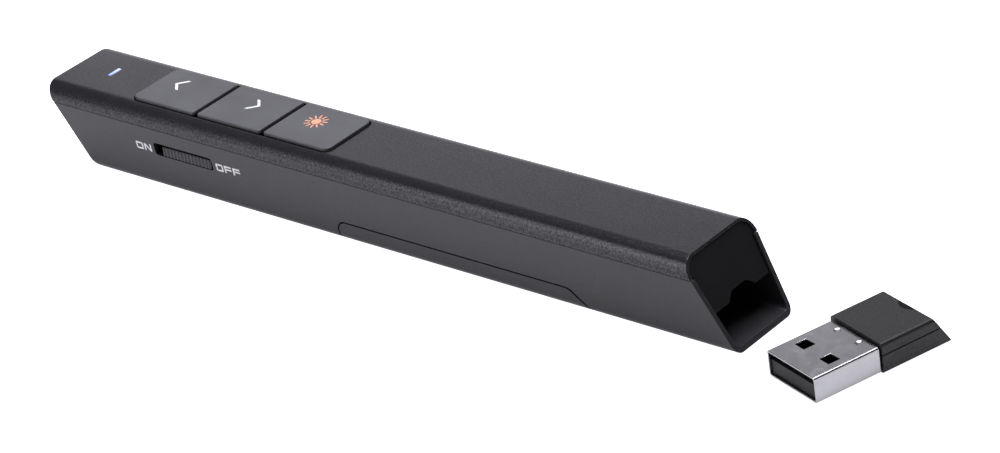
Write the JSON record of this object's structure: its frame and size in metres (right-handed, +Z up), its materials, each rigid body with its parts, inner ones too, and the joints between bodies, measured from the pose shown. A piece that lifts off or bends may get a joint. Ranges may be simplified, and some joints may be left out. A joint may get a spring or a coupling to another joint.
{
  "type": "laser pointer",
  "caption": "Slim wireless presenter with a laser pointer: slant-ended housing, press keys on top, side power slider, battery door and a plug-in receiver lying beside its storage bay.",
  "frame": {"origin": "on the flat underside of the presenter, on its centre line, below the middle key", "axes": "+X along the presenter towards the receiver bay, the laser beam leaves along -X, the power slider is on the -Y side, +Z up through the keys"},
  "size_m": [0.1781, 0.0283, 0.0162],
  "materials": {
    "case_plastic": "fine satin moulded",
    "cover_plastic": "fine spark-eroded grain",
    "dark_plastic": "satin moulded",
    "key_plastic": "soft satin with printed mark",
    "black_plastic": "satin moulded",
    "receiver_plastic": "fine grain",
    "plug_steel": "rolled nickel-plated sheet",
    "plain_steel": "plated",
    "gold": "gold-plated",
    "barrel_brass": "turned",
    "board": "solder mask",
    "chip": "moulded epoxy",
    "led": "cast epoxy",
    "lit_pipe": "clear acrylic, lit blue",
    "window": "tinted acrylic",
    "lens": "clear",
    "cell_jacket": "printed jacket",
    "red_wire": "insulated wire",
    "black_wire": "insulated wire"
  },
  "bodies": {
    "housing": {"bottom_case": "case_plastic", "top_cover": "cover_plastic", "rear_plate": "dark_plastic", "laser_window": "window", "laser_barrel": "barrel_brass", "laser_lens": "lens", "laser_diode": "barrel_brass", "laser_lead_plus": "red_wire", "laser_lead_minus": "black_wire", "main_board": "board", "page_up_switch": "plain_steel", "page_down_switch": "plain_steel", "laser_switch": "plain_steel", "slide_switch": "plain_steel", "radio_chip": "chip", "crystal": "plain_steel", "boost_coil": "chip", "board_screw_front": "plain_steel", "board_screw_rear": "plain_steel", "status_led": "led", "light_pipe": "lit_pipe", "battery_cell": "cell_jacket", "battery_spring": "plain_steel", "spring_contact": "plain_steel", "nub_contact": "plain_steel", "battery_lead": "red_wire"},
    "page_up_button": {"page_up_key": "key_plastic", "page_up_switch_stem": "black_plastic"},
    "page_down_button": {"page_down_key": "key_plastic", "page_down_switch_stem": "black_plastic"},
    "laser_button": {"laser_key": "key_plastic", "laser_switch_stem": "black_plastic"},
    "power_switch": {"power_slider": "case_plastic", "slide_switch_lever": "black_plastic"},
    "door": {"battery_door": "case_plastic"},
    "receiver": {"plug_shell": "plug_steel", "plug_tongue": "black_plastic", "plug_contact_1": "gold", "plug_contact_2": "gold", "plug_contact_3": "gold", "plug_contact_4": "gold", "receiver_base": "receiver_plastic", "receiver_cover": "receiver_plastic", "receiver_board": "board", "receiver_chip": "chip", "receiver_crystal": "plain_steel"}
  },
  "joints": [
    {"name": "page_up_press", "type": "slide", "parent": "housing", "child": "page_up_button", "axis": [0, 0, -1], "range_m": [0, 0.0003], "stiffness_N_per_m": 1500},
    {"name": "page_down_press", "type": "slide", "parent": "housing", "child": "page_down_button", "axis": [0, 0, -1], "range_m": [0, 0.0003], "stiffness_N_per_m": 1500},
    {"name": "laser_press", "type": "slide", "parent": "housing", "child": "laser_button", "axis": [0, 0, -1], "range_m": [0, 0.0003], "stiffness_N_per_m": 1500},
    {"name": "power_slide", "type": "slide", "parent": "housing", "child": "power_switch", "axis": [-1, 0, 0], "range_m": [0, 0.0015]},
    {"name": "door_removal", "type": "slide", "parent": "housing", "child": "door", "axis": [0, 0, -1], "range_m": [0, 0.02]},
    {"name": "receiver_plug_in", "type": "slide", "parent": "housing", "child": "receiver", "axis": [-0.294, -0.9558, 0], "range_m": [0, 0.0124]}
  ]
}
